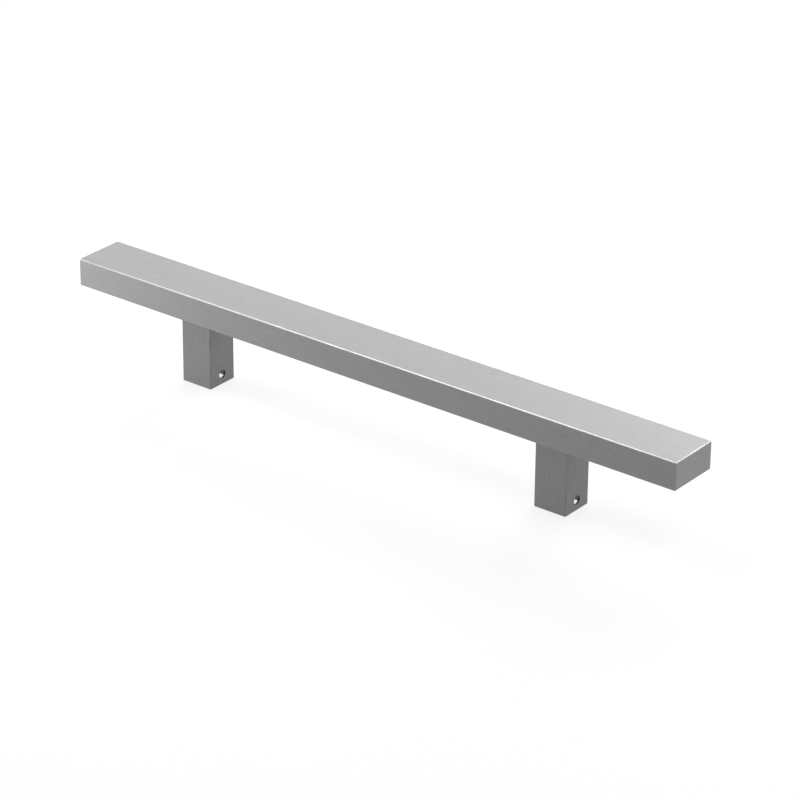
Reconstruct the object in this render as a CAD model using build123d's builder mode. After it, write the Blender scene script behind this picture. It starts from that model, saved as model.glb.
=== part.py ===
from build123d import *
import os

# Bridge pull handle in stainless tube: a flat rectangular bar, closed at both ends by
# welded plates, stands on two square posts. Each post is open at its foot, so that it
# slides over a square spigot on the door, and has one cross hole for the spigot's
# grub screw.
#
# Frame, in millimetres: the origin is midway between the posts, on the plane of their
# feet. +X runs along the bar, +Y across it and +Z away from the door.

# Bar: rectangular tube with an end plate on each end
bar_length = 500.0  # over both end plates
bar_width = 40.0
bar_thickness = 20.0
bar_wall = 1.5
bar_edge_radius = 0.8  # outside corners of the tube
bar_inner_radius = 0.4  # inside corners of the tube

# End plates: as large as the bar's section, welded on and dressed flush
end_plate_thickness = 1.5
end_plate_rim_radius = 0.7  # eased edge round the outer face

# Posts: square tube
post_size = 25.0
post_height = 50.0  # clear height under the bar
post_centres = 300.0
post_wall = 1.2
post_edge_radius = 0.6
post_inner_radius = 0.4

# Cross hole for the grub screw, through the wall on the +X side of each post
screw_hole_diameter = 6.0
screw_hole_height = 7.5  # its axis above the foot

# Sizes and places that follow from the ones above
tube_length = bar_length - 2 * end_plate_thickness
bar_axis_height = post_height + bar_thickness / 2
ends = {"left": -1, "right": 1}  # which way along X each end lies


def save(part, name):
    """Labels a finished piece and writes it under the same name."""
    part.label = name
    export_step(part, f"parts/{name}.step")


def make_handle_bar():
    """The rectangular tube that the hand grips, without its end plates."""
    section = Plane(origin=(-tube_length / 2, 0, bar_axis_height), x_dir=(0, 1, 0), z_dir=(1, 0, 0))
    with BuildPart() as handle_bar:
        with BuildSketch(section):
            RectangleRounded(bar_width, bar_thickness, bar_edge_radius)
            RectangleRounded(
                bar_width - 2 * bar_wall,
                bar_thickness - 2 * bar_wall,
                bar_inner_radius,
                mode=Mode.SUBTRACT,
            )
        extrude(amount=tube_length)
    return handle_bar.part


def make_end_plate(direction):
    """The plate that closes one end of the tube; direction is -1 or 1 along X."""
    seat = Plane(
        origin=(direction * tube_length / 2, 0, bar_axis_height),
        x_dir=(0, 1, 0),
        z_dir=(direction, 0, 0),
    )
    with BuildPart() as end_plate:
        with BuildSketch(seat):
            RectangleRounded(bar_width, bar_thickness, bar_edge_radius)
        extrude(amount=end_plate_thickness)
        outer_face = end_plate.faces().filter_by(Axis.X).sort_by(Axis.X)[-1 if direction > 0 else 0]
        fillet(outer_face.edges(), end_plate_rim_radius)
    return end_plate.part


def make_post(direction):
    """A square tube from the foot up to the bar's underside, with its cross hole."""
    centre = direction * post_centres / 2
    foot = Plane(origin=(centre, 0, 0))
    drilled_wall = Plane(
        origin=(centre + post_size / 2, 0, screw_hole_height), x_dir=(0, 1, 0), z_dir=(1, 0, 0)
    )
    with BuildPart() as post:
        with BuildSketch(foot):
            RectangleRounded(post_size, post_size, post_edge_radius)
            RectangleRounded(
                post_size - 2 * post_wall,
                post_size - 2 * post_wall,
                post_inner_radius,
                mode=Mode.SUBTRACT,
            )
        extrude(amount=post_height)
        with BuildSketch(drilled_wall):
            Circle(screw_hole_diameter / 2)
        extrude(amount=-post_wall, mode=Mode.SUBTRACT)
    return post.part


os.makedirs("parts", exist_ok=True)
save(make_handle_bar(), "handle_bar")
for side, direction in ends.items():
    save(make_end_plate(direction), f"end_plate_{side}")
    save(make_post(direction), f"post_{side}")
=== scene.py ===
"""Dresses a stainless steel bridge pull handle: the surfaces of its bar, end plates and posts,
their satin brushed finish, and a plain photographic stage.

All sizes are in metres, in the handle's own frame: +X along the bar, +Z away from the door.
"""
from math import cos, pi, radians, sin

import bmesh
import bpy
import numpy as np
from bpy.props import FloatProperty, FloatVectorProperty, IntProperty, PointerProperty
from bpy.types import Operator, Panel, PropertyGroup
from mathutils import Matrix, Vector


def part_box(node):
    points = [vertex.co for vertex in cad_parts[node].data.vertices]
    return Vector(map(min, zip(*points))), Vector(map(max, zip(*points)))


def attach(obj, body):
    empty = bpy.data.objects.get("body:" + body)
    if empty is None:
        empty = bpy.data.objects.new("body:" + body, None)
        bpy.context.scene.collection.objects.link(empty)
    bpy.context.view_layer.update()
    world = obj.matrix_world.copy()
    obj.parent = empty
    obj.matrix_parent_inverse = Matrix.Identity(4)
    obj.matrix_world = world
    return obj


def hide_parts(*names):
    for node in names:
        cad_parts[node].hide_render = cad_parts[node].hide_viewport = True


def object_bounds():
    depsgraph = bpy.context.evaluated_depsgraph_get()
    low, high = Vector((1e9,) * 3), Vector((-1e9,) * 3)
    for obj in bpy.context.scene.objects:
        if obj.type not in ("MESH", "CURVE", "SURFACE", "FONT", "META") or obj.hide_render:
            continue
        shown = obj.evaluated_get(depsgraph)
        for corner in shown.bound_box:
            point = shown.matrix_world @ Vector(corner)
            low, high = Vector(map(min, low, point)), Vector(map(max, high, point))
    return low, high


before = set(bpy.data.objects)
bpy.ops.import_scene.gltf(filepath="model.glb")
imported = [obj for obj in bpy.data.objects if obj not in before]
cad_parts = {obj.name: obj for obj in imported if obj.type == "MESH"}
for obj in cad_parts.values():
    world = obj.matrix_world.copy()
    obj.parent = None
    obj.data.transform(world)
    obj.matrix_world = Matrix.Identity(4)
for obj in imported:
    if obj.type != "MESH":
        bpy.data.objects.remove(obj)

bl_info = {
    "name": "Bridge pull handle",
    "version": (1, 0, 0),
    "blender": (4, 5, 0),
    "location": "3D View > Sidebar > Pull handle",
    "description": "Makes a brushed steel bridge pull handle and a plain stage for it",
    "category": "Add Mesh",
}

CAD_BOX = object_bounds()
MM = 0.001
BODY = "root"
GRAIN_MAP = "Grain"  # the UV map: U runs along the grain and V across it, in metres
SIDES = {"left": -1, "right": 1}
WELD_DISTANCE = 1e-7
SHARP_ANGLE = radians(40)
HOLE_CELLS = 16  # grid cells along a side of the patch of wall round a hole
PATCH_MARGIN = 6  # from a hole to the side of its patch, in widths of the broken edge
FLOOR_SIDES = 64
COVE_STEPS = 8
CAMERA_REACH = 100.0  # in metres, well past the wall round the floor

# Brushed lines, on the grain map: along the grain first, then across it
LONG_LINES_SCALE = (0.15, 0.45, 1)  # long lines for each fine one
CLOUDS_SCALE = (14, 45, 1)  # clouds in a metre
CLOUDS_RANGE = (0.99, 1.01)  # how much darker and lighter the clouds are than the steel
FINE_SHARE = 0.75
LONG_SHARE = 0.25
ROUGHNESS_SWING = 0.03  # how far a line's roughness may lie from the mean, with few exceptions
NOISE_RANGE = (0.3, 0.7)  # where nearly all of a noise texture's values lie
ACROSS_GRAIN = 0.25  # of a turn, from the grain to the direction that reflections spread in

# Edges rubbed smoother and painted brighter, a painted highlight: they fade in and out with how far
# the surface's normal leans away from the door
RUBBED_AND_HIGHLIT_FADE_IN = (0.02, 0.25)
RUBBED_AND_HIGHLIT_FADE_OUT = (0.998, 0.94)
PATCHES_SCALE = (60, 200, 1)  # patches in a metre, along the grain and across it
PATCHES_RANGE = (0.75, 1.0)


# ---------------------------------------------------------------- settings


class HandleForm(PropertyGroup):
    """Sizes that the frame's boxes don't give."""

    bar_wall: FloatProperty(
        name="Bar wall", description="Wall of the bar's tube", default=1.5 * MM, unit="LENGTH"
    )
    bar_edge_radius: FloatProperty(
        name="Bar edge radius",
        description="Outside corner radius of the bar's tube",
        default=0.8 * MM,
        unit="LENGTH",
    )
    plate_rim_radius: FloatProperty(
        name="End plate rim radius",
        description="Eased edge round the outer face of each end plate",
        default=0.7 * MM,
        unit="LENGTH",
    )
    post_wall: FloatProperty(
        name="Post wall", description="Wall of the posts' tube", default=1.2 * MM, unit="LENGTH"
    )
    post_edge_radius: FloatProperty(
        name="Post edge radius",
        description="Outside corner radius of the posts' tube",
        default=0.6 * MM,
        unit="LENGTH",
    )
    inner_radius: FloatProperty(
        name="Inner radius",
        description="Inside corner radius of both tubes",
        default=0.4 * MM,
        unit="LENGTH",
    )
    cut_break: FloatProperty(
        name="Cut edge break",
        description="Width of the bevel that takes the burr off a foot or a drilled hole",
        default=0.15 * MM,
        unit="LENGTH",
    )
    hole_diameter: FloatProperty(
        name="Hole diameter",
        description="Cross hole for the grub screw",
        default=6 * MM,
        unit="LENGTH",
    )
    hole_height: FloatProperty(
        name="Hole height",
        description="Height of the cross hole's axis above the foot",
        default=7.5 * MM,
        unit="LENGTH",
    )
    arc_steps: IntProperty(
        name="Arc steps", description="Steps in each rounded corner", default=8, min=2, max=32
    )


class SteelFinish(PropertyGroup):
    """The satin brushed finish, piece by piece, with painted light and painted shade in some of its
    colours.
    """

    bar_colour: FloatVectorProperty(
        name="Bar colour",
        description="Colour of the bar's brushed steel",
        subtype="COLOR",
        size=3,
        default=(0.27, 0.27, 0.27),
    )
    bar_roughness: FloatProperty(
        name="Bar roughness", description="Mean roughness of the bar's finish", default=0.6
    )
    bar_anisotropy: FloatProperty(
        name="Bar anisotropy",
        description="How much the bar's grain spreads a reflection across it",
        default=0.5,
    )
    # Painted light: the end plates are painted lighter than the bar, so that the end faces read
    # brighter than the front
    plate_lit_colour: FloatVectorProperty(
        name="End plate colour",
        description="Colour of the end plates' brushed steel",
        subtype="COLOR",
        size=3,
        default=(0.34, 0.34, 0.34),
    )
    plate_roughness: FloatProperty(
        name="End plate roughness", description="Mean roughness of the end plates", default=0.7
    )
    plate_anisotropy: FloatProperty(
        name="End plate anisotropy",
        description="How much the end plates' grain spreads a reflection across it",
        default=0.5,
    )
    # Painted shade: the posts are painted darker than the bar, for the shade under the bar
    post_shaded_colour: FloatVectorProperty(
        name="Post colour",
        description="Colour of the posts' brushed steel",
        subtype="COLOR",
        size=3,
        default=(0.25, 0.25, 0.25),
    )
    post_roughness: FloatProperty(
        name="Post roughness", description="Mean roughness of the posts' finish", default=0.7
    )
    post_anisotropy: FloatProperty(
        name="Post anisotropy",
        description="How much the posts' grain spreads a reflection across it",
        default=0.2,
    )
    inside_colour: FloatVectorProperty(
        name="Inside colour",
        description="Colour of the unbrushed steel inside the tubes",
        subtype="COLOR",
        size=3,
        default=(0.14, 0.139, 0.137),
    )
    inside_roughness: FloatProperty(
        name="Inside roughness", description="Roughness inside the tubes", default=0.55
    )
    inside_anisotropy: FloatProperty(
        name="Inside anisotropy",
        description="How much the drawn tubes' insides spread a reflection across them",
        default=0.2,
    )
    cut_colour: FloatVectorProperty(
        name="Cut colour",
        description="Colour of the sawn feet",
        subtype="COLOR",
        size=3,
        default=(0.36, 0.36, 0.36),
    )
    cut_roughness: FloatProperty(
        name="Cut roughness", description="Roughness of the cut edges", default=0.42
    )
    cut_anisotropy: FloatProperty(
        name="Cut anisotropy",
        description="How much the cut and drilled edges spread a reflection across them",
        default=0.3,
    )
    # Painted shade: the drilled holes' walls are painted near black, for the shade inside the holes
    drilled_shade_colour: FloatVectorProperty(
        name="Drilled colour",
        description="Colour of the drilled holes, which the brush doesn't reach",
        subtype="COLOR",
        size=3,
        default=(0.03, 0.03, 0.03),
    )
    # Painted highlight: how much the bar's rounded top edges are painted brighter, on top of their
    # real rubbing
    edge_highlight_brightness: FloatProperty(
        name="Edge brightness",
        description="How much brighter the bar's rounded edges are, where they are rubbed smooth",
        default=1.6,
    )
    edge_smoothness: FloatProperty(
        name="Edge smoothness",
        description="How much less rough the bar's rounded edges are",
        default=0.3,
    )
    line_length: FloatProperty(
        name="Line length",
        description="Length of a brushed line",
        default=8 * MM,
        unit="LENGTH",
    )
    line_width: FloatProperty(
        name="Line width",
        description="Width of a brushed line",
        default=0.25 * MM,
        unit="LENGTH",
        precision=5,
    )
    line_depth: FloatProperty(
        name="Line depth",
        description="Depth of a brushed line",
        default=0.002 * MM,
        unit="LENGTH",
        precision=6,
    )
    line_contrast: FloatProperty(
        name="Line contrast",
        description="How much lighter and darker the lines are than the steel",
        default=0.15,
        subtype="FACTOR",
    )


def softbox_brightness(name, default):
    """The setting for a softbox's brightness."""
    text = f"Brightness of the {name.lower()}, where 1 is a white sheet in plain light"
    return FloatProperty(name=name, description=text, default=default, min=0)


class StageSettings(PropertyGroup):
    """The floor, the lamps and the camera."""

    floor_colour: FloatVectorProperty(
        name="Floor colour",
        description="Colour of the plain floor",
        subtype="COLOR",
        size=3,
        default=(0.95, 0.95, 0.95),
    )
    floor_glow: FloatProperty(
        name="Floor glow",
        description="Share of plain white that the camera and the steel see in the floor nearby",
        default=0.82,
        subtype="FACTOR",
    )
    fade_start: FloatProperty(
        name="Fade start",
        description="How far from the middle the floor starts to turn plain white",
        default=0.3,
        unit="LENGTH",
    )
    fade_end: FloatProperty(
        name="Fade end",
        description="How far from the middle the floor is all plain white",
        default=0.9,
        unit="LENGTH",
    )
    floor_radius: FloatProperty(
        name="Floor radius", description="Radius of the round floor", default=12.0, unit="LENGTH"
    )
    cove_radius: FloatProperty(
        name="Cove radius",
        description="Radius of the curve from the floor up to its wall",
        default=1.0,
        unit="LENGTH",
    )
    wall_height: FloatProperty(
        name="Wall height",
        description="Height of the wall round the floor",
        default=1.8,
        unit="LENGTH",
    )
    world_level: FloatProperty(
        name="World level", description="Brightness of the even light from all round", default=0.15
    )
    back_left: softbox_brightness("Softbox behind on the left", 5.4)
    back_right: softbox_brightness("Softbox behind on the right", 10.5)
    left: softbox_brightness("Softbox on the left", 21.3)
    overhead: softbox_brightness("Softbox overhead", 4.2)
    high_right: softbox_brightness("High softbox behind on the right", 4.7)
    front_right: softbox_brightness("High softbox in front on the right", 3.0)
    right: softbox_brightness("Softbox on the right", 1.5)
    camera_azimuth: FloatProperty(
        name="Camera azimuth",
        description="Where the camera stands round the handle, from -Y towards +X",
        default=radians(37.715),
        subtype="ANGLE",
    )
    camera_elevation: FloatProperty(
        name="Camera elevation",
        description="How far the camera looks down",
        default=radians(25.992),
        subtype="ANGLE",
    )
    camera_roll: FloatProperty(
        name="Camera roll",
        description="Turn of the camera about its own axis",
        default=radians(0.48),
        subtype="ANGLE",
    )
    camera_distance: FloatProperty(
        name="Camera distance",
        description="From the camera to the point that it aims at",
        default=2.3948,
        unit="LENGTH",
    )
    camera_aim: FloatVectorProperty(
        name="Camera aim",
        description="The point that the camera aims at",
        subtype="TRANSLATION",
        size=3,
        default=(0.01786, -0.00019, 0.035),
    )
    camera_lens: FloatProperty(
        name="Camera lens", description="Focal length, in millimetres", default=162.5
    )


# ---------------------------------------------------------------- surfaces


def rounded_rectangle(width, height, radius, arc_steps, marks=()):
    """Points and running length of a rounded rectangle, anticlockwise from its +a side.

    A corner is its centre plus radius times (cos t, sin t) over a quarter turn. A side is the
    straight line between two corners, with a point at each mark, which is measured from the
    side's middle. The first point is repeated at the end, so that the length closes too.
    """
    quarter = np.linspace(0, pi / 2, arc_steps + 1)
    turns = np.arange(4)[:, None] * pi / 2 + quarter
    corner_signs = np.array([(1, 1), (-1, 1), (-1, -1), (1, -1)])
    centres = corner_signs * (np.array([width, height]) / 2 - radius)
    arcs = centres[:, None] + radius * np.stack([np.cos(turns), np.sin(turns)], -1)
    starts, ends = arcs[:, -1], np.roll(arcs[:, 0], -1, axis=0)
    along = (ends - starts) / np.linalg.norm(ends - starts, axis=1, keepdims=True)
    sides = ((starts + ends) / 2)[:, None] + along[:, None] * np.asarray(marks).reshape(1, -1, 1)
    loop = np.concatenate([arcs, sides], axis=1).reshape(-1, 2)
    loop = np.vstack([loop, loop[:1]])
    length = np.concatenate([[0], np.cumsum(np.linalg.norm(np.diff(loop, axis=0), axis=1))])
    return loop, length


def loft(rings, grain, keep=None):
    """Quads between neighbouring rings of points, as (corner positions, corner grain places).

    rings is an array (ring, point, 3), and grain an array (ring, point, 2) of places on the
    grain map. Quad (i, j) has the corners (i, j), (i, j+1), (i+1, j+1) and (i+1, j), and keep
    says which quads stay.
    """
    here, beyond = slice(None, -1), slice(1, None)
    corners = [(here, here), (here, beyond), (beyond, beyond), (beyond, here)]
    quads = np.stack([rings[c] for c in corners], axis=2)
    places = np.stack([grain[c] for c in corners], axis=2)
    if keep is None:
        keep = np.ones(quads.shape[:2], bool)
    return quads[keep], places[keep]


def closed_mesh(name, surfaces, caps=()):
    """A mesh object made of lofted surfaces and flat caps, with the points they share joined.

    surfaces is a list of (quads, grain places, material slot), and caps a list of
    (points, grain places, material slot), whose points run anticlockwise seen from outside.
    """
    parts = [
        (quads.reshape(-1, 3), places.reshape(-1, 2), np.full(len(quads), quads.shape[1]), slot)
        for quads, places, slot in surfaces
    ]
    parts += [(points, places, np.array([len(points)]), slot) for points, places, slot in caps]
    points, places, sizes = (np.concatenate([part[n] for part in parts]) for n in range(3))
    slots = np.concatenate([np.full(len(part[2]), part[3]) for part in parts])
    mesh = bpy.data.meshes.new(name)
    mesh.vertices.add(len(points))
    mesh.vertices.foreach_set("co", points.astype(np.float32).ravel())
    mesh.loops.add(len(points))
    mesh.loops.foreach_set("vertex_index", np.arange(len(points), dtype=np.int32))
    mesh.polygons.add(len(sizes))
    mesh.polygons.foreach_set("loop_start", (np.cumsum(sizes) - sizes).astype(np.int32))
    mesh.polygons.foreach_set("material_index", slots.astype(np.int32))
    grain_map = mesh.uv_layers.new(name=GRAIN_MAP)
    grain_map.data.foreach_set("uv", places.astype(np.float32).ravel())
    mesh.update(calc_edges=True)
    joined = bmesh.new()
    joined.from_mesh(mesh)
    bmesh.ops.remove_doubles(joined, verts=joined.verts, dist=WELD_DISTANCE)
    if any(not edge.is_manifold for edge in joined.edges):
        raise RuntimeError(f"{name} isn't closed")
    if joined.calc_volume(signed=True) <= 0:
        raise RuntimeError(f"{name} is inside out")
    joined.to_mesh(mesh)
    joined.free()
    mesh.shade_smooth()
    mesh.set_sharp_from_angle(angle=SHARP_ANGLE)
    piece = bpy.data.objects.new(name, mesh)
    bpy.context.scene.collection.objects.link(piece)
    flat_faces = piece.modifiers.new("Flat faces", "WEIGHTED_NORMAL")
    flat_faces.keep_sharp = True
    return piece


def place_piece(piece, node, materials):
    """Gives a piece its materials and its place in the frame, where it stands for a CAD node."""
    for material in materials:
        piece.data.materials.append(material)
    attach(piece, BODY)
    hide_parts(node)


def across_x(loop, x, centre):
    """A loop of (y, z) points about a centre, set across the X axis."""
    return np.stack([np.full(len(loop), x), loop[:, 0] + centre[0], loop[:, 1] + centre[1]], -1)


def across_z(loop, z, centre):
    """A loop of (x, y) points about a centre, set across the Z axis."""
    return np.stack([loop[:, 0] + centre[0], loop[:, 1] + centre[1], np.full(len(loop), z)], -1)


def grain_places(across, along):
    """Places on the grain map, from the distances across the grain and along it."""
    return np.stack(np.broadcast_arrays(along, across), -1)


# ---------------------------------------------------------------- pieces


def make_bar(form, materials):
    """The bar's tube: its outside and inside sections carried along X, and joined at both ends."""
    low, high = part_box("handle_bar")
    width, thickness = high.y - low.y, high.z - low.z
    inner_width, inner_thickness = width - 2 * form.bar_wall, thickness - 2 * form.bar_wall
    centre = ((low.y + high.y) / 2, (low.z + high.z) / 2)
    outer = rounded_rectangle(width, thickness, form.bar_edge_radius, form.arc_steps)
    inner = rounded_rectangle(inner_width, inner_thickness, form.inner_radius, form.arc_steps)
    surfaces = []
    for (start, near), (end, far), slot in (
        ((low.x, outer), (high.x, outer), 0),
        ((high.x, outer), (high.x, inner), 1),
        ((high.x, inner), (low.x, inner), 1),
        ((low.x, inner), (low.x, outer), 1),
    ):
        rings = np.stack([across_x(near[0], start, centre), across_x(far[0], end, centre)])
        grain = np.stack([grain_places(near[1], start), grain_places(far[1], end)])
        surfaces.append((*loft(rings, grain), slot))
    piece = closed_mesh("bar_tube", surfaces)
    place_piece(piece, "handle_bar", materials)


def make_end_plate(form, side, materials):
    """An end plate: the bar's section carried out along X, then in round a quarter circle.

    A ring is the section drawn in by r (1 - cos t), at r (1 - sin t) short of the outer face.
    """
    direction = SIDES[side]
    low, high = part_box(f"end_plate_{side}")
    seat, face = (low.x, high.x) if direction > 0 else (high.x, low.x)
    width, thickness = high.y - low.y, high.z - low.z
    centre = ((low.y + high.y) / 2, (low.z + high.z) / 2)
    radius = form.plate_rim_radius
    turn = np.linspace(0, pi / 2, form.arc_steps + 1)
    insets = np.concatenate([[0], radius * (1 - np.cos(turn))])
    places = np.concatenate([[seat], face - direction * radius * (1 - np.sin(turn))])
    rim_length = rounded_rectangle(width, thickness, form.bar_edge_radius, form.arc_steps)[1]
    rings, grain = [], []
    for inset, x in zip(insets, places):
        sizes = (width - 2 * inset, thickness - 2 * inset, form.bar_edge_radius - inset)
        loop = rounded_rectangle(*sizes, form.arc_steps)[0]
        rings.append(across_x(loop, x, centre))
        grain.append(grain_places(rim_length, x))
    rings, grain = np.stack(rings), np.stack(grain)
    if direction < 0:
        rings, grain = rings[:, ::-1], grain[:, ::-1]
    flats = ((rings[0, :0:-1], 0), (rings[-1, 1:], 1))
    caps = [(points, points[:, [2, 1]], slot) for points, slot in flats]
    piece = closed_mesh(f"{side}_end_plate", [(*loft(rings, grain), 0)], caps)
    place_piece(piece, f"end_plate_{side}", materials)


def window_marks(form):
    """Where the grid lines of the wall round a hole stand, from the hole's axis."""
    reach = form.hole_diameter / 2 + PATCH_MARGIN * form.cut_break
    return np.linspace(-reach, reach, HOLE_CELLS + 1)


def drilled_hole(form, outside, inside, centre):
    """The patches that fill a wall's window: flat, drilled and flat again, with broken edges.

    Each ring is a square of side 2 w, or the circle with the square's points drawn in to radius r,
    which is r times the point over its distance from the axis.
    """
    marks = window_marks(form)
    reach, run = marks[-1], marks[:-1]
    edge, radius = form.cut_break, form.hole_diameter / 2
    across = np.full(HOLE_CELLS, reach)
    sides = [(across, run), (-run, across), (-across, -run), (run, -across)]
    square = np.concatenate([np.stack(side, -1) for side in sides])
    square = np.vstack([square, square[:1]])
    circle = square / np.linalg.norm(square, axis=1, keepdims=True)
    sections = (
        (outside, square),
        (outside, circle * (radius + edge)),
        (outside - edge, circle * radius),
        (inside + edge, circle * radius),
        (inside, circle * (radius + edge)),
        (inside, square),
    )
    rings = np.stack([across_x(loop, x, centre) for x, loop in sections])
    turned = np.unwrap(np.arctan2(square[:, 1], square[:, 0])) * radius
    round_grain = np.stack([grain_places(x, turned) for x, _ in sections])
    flat_grain = rings[..., [2, 1]]
    return [
        (*loft(rings[:2], flat_grain[:2]), 0),
        (*loft(rings[1:5], round_grain[1:5]), 3),
        (*loft(rings[4:], flat_grain[4:]), 1),
    ]


def make_post(form, side, materials):
    """A post: a square tube carried up Z, with a window in its +X wall that a drilled wall fills.

    Its sections are rounded squares, drawn in at the foot by the width of the broken edge.
    """
    low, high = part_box(f"post_{side}")
    centre = ((low.x + high.x) / 2, (low.y + high.y) / 2)
    size, wall, edge = high.x - low.x, form.post_wall, form.cut_break
    marks = window_marks(form)
    hole_height = low.z + form.hole_height
    heights = np.concatenate([[low.z + edge], hole_height + marks, [high.z]])

    def section(inset, radius, levels):
        side_length = size - 2 * inset
        loop, length = rounded_rectangle(side_length, side_length, radius, form.arc_steps, marks)
        rings = np.stack([across_z(loop, z, centre) for z in levels])
        return rings, np.stack([grain_places(length, z) for z in levels])

    outer = section(0, form.post_edge_radius, heights)
    inner = section(wall, form.inner_radius, heights[::-1])
    foot_outer = section(edge, form.post_edge_radius - edge, [low.z])
    foot_inner = section(wall - edge, form.inner_radius + edge, [low.z])
    # The last run of marks is the +X wall's, where the window is
    in_window = np.zeros((outer[0].shape[0] - 1, outer[0].shape[1] - 1), bool)
    in_window[1:-1, -1 - HOLE_CELLS:-1] = True
    top = [np.stack([outside[-1], inside[0]]) for outside, inside in zip(outer, inner)]
    foot = [
        np.stack([inside[-1], foot_inside[0], foot_outside[0], outside[0]])
        for outside, inside, foot_inside, foot_outside in zip(outer, inner, foot_inner, foot_outer)
    ]
    surfaces = [
        (*loft(*outer, ~in_window), 0),
        (*loft(*top), 0),
        (*loft(*inner, ~in_window), 1),
        (*loft(*foot), 2),
    ]
    surfaces += drilled_hole(form, high.x, high.x - wall, (centre[1], hole_height))
    piece = closed_mesh(f"{side}_post", surfaces)
    place_piece(piece, f"post_{side}", materials)


# ---------------------------------------------------------------- finish


def new_group(name, inputs, outputs):
    """An empty shader node group with sockets, and its input and output nodes."""
    group = bpy.data.node_groups.new(name, "ShaderNodeTree")
    for direction, sockets in (("INPUT", inputs), ("OUTPUT", outputs)):
        for socket, kind in sockets.items():
            group.interface.new_socket(socket, in_out=direction, socket_type=f"NodeSocket{kind}")
    return group, group.nodes.new("NodeGroupInput"), group.nodes.new("NodeGroupOutput")


def noise(group, place, detail, roughness=0.6):
    """A noise texture on a place that is already scaled, and its 0 to 1 value."""
    texture = group.nodes.new("ShaderNodeTexNoise")
    texture.inputs["Scale"].default_value = 1
    texture.inputs["Detail"].default_value = detail
    texture.inputs["Roughness"].default_value = roughness
    group.links.new(place, texture.inputs["Vector"])
    return texture.outputs["Fac"]


def arithmetic(group, operation, first, second):
    """A Math node on two sockets or plain values; VECTOR_ in its operation asks for Vector Math."""
    vector = operation.startswith("VECTOR_")
    node = group.nodes.new("ShaderNodeVectorMath" if vector else "ShaderNodeMath")
    node.operation = operation.removeprefix("VECTOR_")
    for socket, value in zip(node.inputs, (first, second)):
        if isinstance(value, bpy.types.NodeSocket):
            group.links.new(value, socket)
        else:
            socket.default_value = value
    return node.outputs[0]


def spread(group, value, low, high):
    """A 0 to 1 noise value carried to the range from low to high, sockets or plain values."""
    node = group.nodes.new("ShaderNodeMapRange")
    node.clamp = False
    group.links.new(value, node.inputs["Value"])
    node.inputs["From Min"].default_value, node.inputs["From Max"].default_value = NOISE_RANGE
    for socket, limit in (("To Min", low), ("To Max", high)):
        if isinstance(limit, bpy.types.NodeSocket):
            group.links.new(limit, node.inputs[socket])
        else:
            node.inputs[socket].default_value = limit
    return node.outputs["Result"]


def ramp(group, value, low, high, first=0.0, last=1.0):
    """A value carried from the range low to high to the range first to last, and held there."""
    node = group.nodes.new("ShaderNodeMapRange")
    group.links.new(value, node.inputs["Value"])
    node.inputs["From Min"].default_value = low
    node.inputs["From Max"].default_value = high
    node.inputs["To Min"].default_value = first
    node.inputs["To Max"].default_value = last
    return node.outputs["Result"]


def brushed_lines_group():
    """Brushed lines along U: fine ones, long ones, and slow clouds where the brush pressed more."""
    group, given, made = new_group(
        "brushed lines",
        {"Place": "Vector", "Line size": "Vector"},
        {"Lines": "Float", "Clouds": "Float"},
    )
    place, line_size = given.outputs["Place"], given.outputs["Line size"]
    lines_place = arithmetic(group, "VECTOR_DIVIDE", place, line_size)
    fine = noise(group, lines_place, detail=3)
    long_place = arithmetic(group, "VECTOR_MULTIPLY", lines_place, LONG_LINES_SCALE)
    long_lines = noise(group, long_place, detail=2)
    fine_part = arithmetic(group, "MULTIPLY", fine, FINE_SHARE)
    long_part = arithmetic(group, "MULTIPLY", long_lines, LONG_SHARE)
    lines = arithmetic(group, "ADD", fine_part, long_part)
    clouds_place = arithmetic(group, "VECTOR_MULTIPLY", place, CLOUDS_SCALE)
    group.links.new(lines, made.inputs["Lines"])
    clouds = noise(group, clouds_place, detail=2, roughness=0.4)
    group.links.new(clouds, made.inputs["Clouds"])
    return group


def rubbed_and_highlit_edges_group():
    """A mask of the rounded edges round the face away from the door, in slow patches: where they
    are rubbed smoother and where a highlight is painted on them.
    """
    group, given, made = new_group("rubbed and highlit edges", {"Place": "Vector"}, {"Rubbed and highlit": "Float"})
    facing = group.nodes.new("ShaderNodeTexCoord").outputs["Normal"]
    parts = group.nodes.new("ShaderNodeSeparateXYZ")
    group.links.new(facing, parts.inputs["Vector"])
    away = parts.outputs["Z"]
    fades = (ramp(group, away, *RUBBED_AND_HIGHLIT_FADE_IN), ramp(group, away, *RUBBED_AND_HIGHLIT_FADE_OUT))
    rounded = arithmetic(group, "MULTIPLY", *fades)
    patches_place = arithmetic(group, "VECTOR_MULTIPLY", given.outputs["Place"], PATCHES_SCALE)
    patches = spread(group, noise(group, patches_place, detail=2), *PATCHES_RANGE)
    group.links.new(arithmetic(group, "MULTIPLY", rounded, patches), made.inputs["Rubbed and highlit"])
    return group


def shared_group(name, make):
    """The node group of this name, made the first time it is asked for."""
    return bpy.data.node_groups.get(name) or make()


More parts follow.
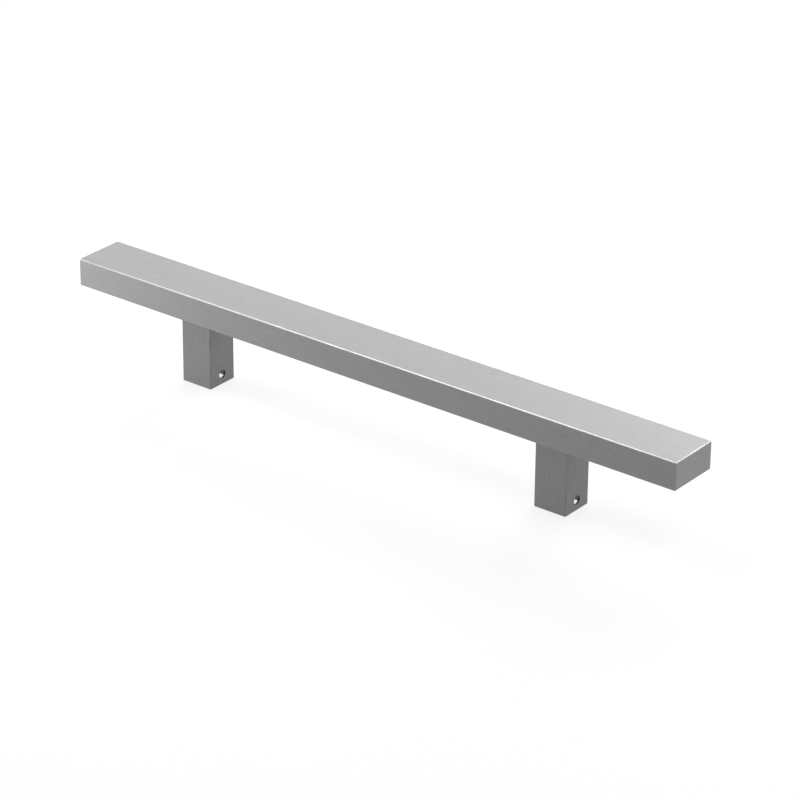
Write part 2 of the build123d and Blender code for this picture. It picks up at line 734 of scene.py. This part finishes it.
def brushed_steel(name, finish, colour, roughness, anisotropy, edge_highlight_brightness, edge_smoothness):
    """Steel brushed along the piece's grain map, with its edges rubbed smoother and painted
    brighter as a painted highlight.
    """
    material = bpy.data.materials.new(name)
    material.use_nodes = True
    tree = material.node_tree
    shader = tree.nodes["Principled BSDF"]
    shader.inputs["Metallic"].default_value = 1
    shader.inputs["Anisotropic"].default_value = anisotropy
    shader.inputs["Anisotropic Rotation"].default_value = ACROSS_GRAIN
    tangent = tree.nodes.new("ShaderNodeTangent")
    tangent.direction_type = "UV_MAP"
    tangent.uv_map = GRAIN_MAP
    tree.links.new(tangent.outputs["Tangent"], shader.inputs["Tangent"])

    place = tree.nodes.new("ShaderNodeUVMap")
    place.uv_map = GRAIN_MAP
    brushed = tree.nodes.new("ShaderNodeGroup")
    brushed.node_tree = shared_group("brushed lines", brushed_lines_group)
    brushed.inputs["Line size"].default_value = (finish.line_length, finish.line_width, 1)
    # This mask drives both the real smoothing of the rubbed edges and their painted highlight
    rubbed = tree.nodes.new("ShaderNodeGroup")
    rubbed.node_tree = shared_group("rubbed and highlit edges", rubbed_and_highlit_edges_group)
    for node in (brushed, rubbed):
        tree.links.new(place.outputs["UV"], node.inputs["Place"])

    contrast = finish.line_contrast
    tone = spread(tree, brushed.outputs["Lines"], 1 - contrast, 1 + contrast)
    clouds = spread(tree, brushed.outputs["Clouds"], *CLOUDS_RANGE)
    tone = arithmetic(tree, "MULTIPLY", tone, clouds)
    # Painted highlight: the rounded edges' colour is made brighter
    painted_highlight_tone = arithmetic(tree, "MULTIPLY", rubbed.outputs["Rubbed and highlit"], edge_highlight_brightness)
    tone = arithmetic(tree, "MULTIPLY", tone, arithmetic(tree, "ADD", painted_highlight_tone, 1.0))
    tinted = arithmetic(tree, "VECTOR_MULTIPLY", tuple(colour), tone)
    tree.links.new(tinted, shader.inputs["Base Color"])

    roughest, smoothest = roughness + ROUGHNESS_SWING, roughness - ROUGHNESS_SWING
    worn = spread(tree, brushed.outputs["Lines"], roughest, smoothest)
    smoother = arithmetic(tree, "MULTIPLY", rubbed.outputs["Rubbed and highlit"], -edge_smoothness)
    tree.links.new(arithmetic(tree, "ADD", worn, smoother), shader.inputs["Roughness"])

    relief = tree.nodes.new("ShaderNodeBump")
    relief.inputs["Distance"].default_value = finish.line_depth
    tree.links.new(brushed.outputs["Lines"], relief.inputs["Height"])
    tree.links.new(relief.outputs["Normal"], shader.inputs["Normal"])
    return material


# ---------------------------------------------------------------- stage


def make_floor(stage):
    """A round plain floor whose rim curves up into a low wall, unseen from below and from behind.

    Its profile runs out along the floor, round a quarter circle and up, and is turned about Z.
    """
    curve = np.linspace(0, pi / 2, COVE_STEPS + 1)
    flat_radius = stage.floor_radius - stage.cove_radius
    radii = np.append(flat_radius + stage.cove_radius * np.sin(curve), stage.floor_radius)
    heights = np.append(stage.cove_radius * (1 - np.cos(curve)), stage.wall_height)
    turn = np.linspace(0, 2 * pi, FLOOR_SIDES, endpoint=False)
    x, y = radii[:, None] * np.cos(turn), radii[:, None] * np.sin(turn)
    points = np.stack([x, y, np.broadcast_to(heights[:, None], x.shape)], -1)
    here = np.arange(x.size).reshape(x.shape)
    beside = np.roll(here, -1, axis=1)
    quads = np.stack([here[:-1], here[1:], beside[1:], beside[:-1]], -1).reshape(-1, 4)
    mesh = bpy.data.meshes.new("floor")
    mesh.from_pydata(points.reshape(-1, 3).tolist(), [], [here[0].tolist(), *quads.tolist()])
    floor = bpy.data.objects.new("floor", mesh)
    bpy.context.scene.collection.objects.link(floor)
    mesh.materials.append(floor_paint(stage))


def floor_paint(stage):
    """Pale paint that the camera and the steel see mixed with plain white, and far off as white."""
    material = bpy.data.materials.new("floor paint")
    material.use_nodes = True
    tree = material.node_tree
    tree.nodes.clear()
    paint = tree.nodes.new("ShaderNodeBsdfDiffuse")
    paint.inputs["Color"].default_value = (*stage.floor_colour, 1)
    white = tree.nodes.new("ShaderNodeEmission")
    ray = tree.nodes.new("ShaderNodeLightPath")
    seen = arithmetic(tree, "MAXIMUM", ray.outputs["Is Camera Ray"], ray.outputs["Is Glossy Ray"])
    seen = arithmetic(tree, "MAXIMUM", seen, ray.outputs["Is Transmission Ray"])
    distance = tree.nodes.new("ShaderNodeVectorMath")
    distance.operation = "LENGTH"
    place = tree.nodes.new("ShaderNodeTexCoord").outputs["Object"]
    tree.links.new(place, distance.inputs[0])
    glow = ramp(tree, distance.outputs["Value"], stage.fade_start, stage.fade_end, stage.floor_glow)
    lit = mixed_shader(tree, arithmetic(tree, "MULTIPLY", seen, glow), paint, white)
    beneath = tree.nodes.new("ShaderNodeNewGeometry").outputs["Backfacing"]
    surface = mixed_shader(tree, beneath, lit, tree.nodes.new("ShaderNodeBsdfTransparent"))
    output = tree.nodes.new("ShaderNodeOutputMaterial")
    tree.links.new(surface.outputs[0], output.inputs["Surface"])
    return material


def mixed_shader(tree, factor, first, second):
    """A Mix Shader node of two shader nodes."""
    mix = tree.nodes.new("ShaderNodeMixShader")
    tree.links.new(factor, mix.inputs[0])
    tree.links.new(first.outputs[0], mix.inputs[1])
    tree.links.new(second.outputs[0], mix.inputs[2])
    return mix


def around(azimuth, elevation, distance, centre):
    """A point seen from centre at an azimuth, counted from -Y towards +X, and an elevation."""
    flat = cos(elevation)
    direction = Vector((sin(azimuth) * flat, -cos(azimuth) * flat, sin(elevation)))
    return Vector(centre) + distance * direction


# Azimuth and elevation in degrees, then distance, width and height
SOFTBOXES = {
    "back_left": (-143, 26, 1.6, 1.2, 0.5),
    "back_right": (-172, 24, 1.6, 0.8, 0.7),
    "left": (-76, 5, 0.9, 0.5, 0.3),
    "overhead": (-88, 61, 1.5, 1.0, 0.7),
    "high_right": (148, 33, 2.0, 0.7, 0.5),
    "front_right": (80, 60, 1.8, 1.2, 0.7),
    "right": (110, 14, 1.6, 1.0, 0.7),
}


def make_softbox(name, brightness):
    """A rectangular lamp that faces the handle, whose power is pi times its area and brightness."""
    azimuth, elevation, distance, width, height = SOFTBOXES[name]
    lamp = bpy.data.lights.new(name, "AREA")
    lamp.shape = "RECTANGLE"
    lamp.size, lamp.size_y = width, height
    lamp.energy = pi * width * height * brightness
    holder = bpy.data.objects.new(name, lamp)
    centre = (CAD_BOX[0] + CAD_BOX[1]) / 2
    holder.location = around(radians(azimuth), radians(elevation), distance, centre)
    holder.rotation_euler = (holder.location - centre).to_track_quat("Z", "Y").to_euler()
    holder.visible_camera = False
    bpy.context.scene.collection.objects.link(holder)


def make_camera(stage):
    """The camera, set by where it stands round the point that it aims at."""
    data = bpy.data.cameras.new("camera")
    data.lens = stage.camera_lens
    camera = bpy.data.objects.new("camera", data)
    aim = Vector(stage.camera_aim)
    stand = (stage.camera_azimuth, stage.camera_elevation, stage.camera_distance)
    camera.location = around(*stand, aim)
    looking = (aim - camera.location).to_track_quat("-Z", "Y").to_matrix().to_4x4()
    camera.rotation_euler = (looking @ Matrix.Rotation(stage.camera_roll, 4, "Z")).to_euler()
    data.clip_end = CAMERA_REACH
    bpy.context.scene.collection.objects.link(camera)
    bpy.context.scene.camera = camera


# ---------------------------------------------------------------- operators


def shared_steel(name, finish):
    """The steel of this name, made the first time it is asked for."""
    made = bpy.data.materials.get(name)
    if made:
        return made
    bar = (finish.bar_colour, finish.bar_roughness, finish.bar_anisotropy)
    # Painted light: the end plates' colour is lighter than the bar's
    plate = (finish.plate_lit_colour, finish.plate_roughness, finish.plate_anisotropy)
    # Painted shade: the posts' colour is darker than the bar's
    post = (finish.post_shaded_colour, finish.post_roughness, finish.post_anisotropy)
    inside = (finish.inside_colour, finish.inside_roughness, finish.inside_anisotropy)
    # The edge brightness is a painted highlight; the edge smoothness is real rubbing
    rubbed = (finish.edge_highlight_brightness, finish.edge_smoothness)
    unrubbed = (0.0, 0.0)
    cut = (finish.cut_roughness, finish.cut_anisotropy, *unrubbed)
    kinds = {
        "bar steel": (*bar, *rubbed),
        "end plate steel": (*plate, *rubbed),
        "post steel": (*post, *unrubbed),
        "inside steel": (*inside, *unrubbed),
        "cut steel": (finish.cut_colour, *cut),
        # Painted shade: the drilled holes are near black
        "drilled steel painted dark": (finish.drilled_shade_colour, *cut),
    }
    return brushed_steel(name, finish, *kinds[name])


class PULLHANDLE_OT_bar(Operator):
    """Make the bar's tube"""

    bl_idname = "pull_handle.make_bar"
    bl_label = "Bar"

    def execute(self, context):
        finish = context.scene.steel_finish
        steels = [shared_steel(name, finish) for name in ("bar steel", "inside steel")]
        make_bar(context.scene.handle_form, steels)
        return {"FINISHED"}


class PULLHANDLE_OT_end_plates(Operator):
    """Make the plates that close the bar's ends"""

    bl_idname = "pull_handle.make_end_plates"
    bl_label = "End plates"

    def execute(self, context):
        finish = context.scene.steel_finish
        steels = [shared_steel(name, finish) for name in ("bar steel", "end plate steel")]
        for side in SIDES:
            make_end_plate(context.scene.handle_form, side, steels)
        return {"FINISHED"}


class PULLHANDLE_OT_posts(Operator):
    """Make the square posts"""

    bl_idname = "pull_handle.make_posts"
    bl_label = "Posts"

    def execute(self, context):
        finish = context.scene.steel_finish
        names = ("post steel", "inside steel", "cut steel", "drilled steel painted dark")
        steels = [shared_steel(name, finish) for name in names]
        for side in SIDES:
            make_post(context.scene.handle_form, side, steels)
        return {"FINISHED"}


class PULLHANDLE_OT_stage(Operator):
    """Make the floor, the lamps and the camera"""

    bl_idname = "pull_handle.make_stage"
    bl_label = "Stage"

    def execute(self, context):
        stage = context.scene.stage_settings
        make_floor(stage)
        for name in SOFTBOXES:
            make_softbox(name, getattr(stage, name))
        world = bpy.data.worlds.new("studio")
        world.use_nodes = True
        air = world.node_tree.nodes["Background"]
        air.inputs["Color"].default_value = (1, 1, 1, 1)
        air.inputs["Strength"].default_value = stage.world_level
        context.scene.world = world
        make_camera(stage)
        context.scene.view_settings.view_transform = "Standard"
        return {"FINISHED"}


class PULLHANDLE_PT_panel(Panel):
    """Lists what the add-on makes"""

    bl_idname = "PULLHANDLE_PT_panel"
    bl_label = "Pull handle"
    bl_space_type = "VIEW_3D"
    bl_region_type = "UI"
    bl_category = "Pull handle"

    def draw(self, context):
        for operator in OPERATORS:
            self.layout.operator(operator.bl_idname)
        for group in ("handle_form", "steel_finish", "stage_settings"):
            settings = getattr(context.scene, group)
            for name in settings.__annotations__:
                self.layout.prop(settings, name)


SETTINGS = {
    "handle_form": HandleForm,
    "steel_finish": SteelFinish,
    "stage_settings": StageSettings,
}
OPERATORS = (PULLHANDLE_OT_bar, PULLHANDLE_OT_end_plates, PULLHANDLE_OT_posts, PULLHANDLE_OT_stage)


def register():
    for cls in (*SETTINGS.values(), *OPERATORS, PULLHANDLE_PT_panel):
        bpy.utils.register_class(cls)
    for name, group in SETTINGS.items():
        setattr(bpy.types.Scene, name, PointerProperty(type=group))


def unregister():
    for name in SETTINGS:
        delattr(bpy.types.Scene, name)
    for cls in (PULLHANDLE_PT_panel, *OPERATORS, *SETTINGS.values()):
        bpy.utils.unregister_class(cls)


def main():
    """Makes the handle and its stage."""
    register()
    bpy.ops.pull_handle.make_bar()
    bpy.ops.pull_handle.make_end_plates()
    bpy.ops.pull_handle.make_posts()
    bpy.ops.pull_handle.make_stage()


if __name__ == "__main__":
    main()
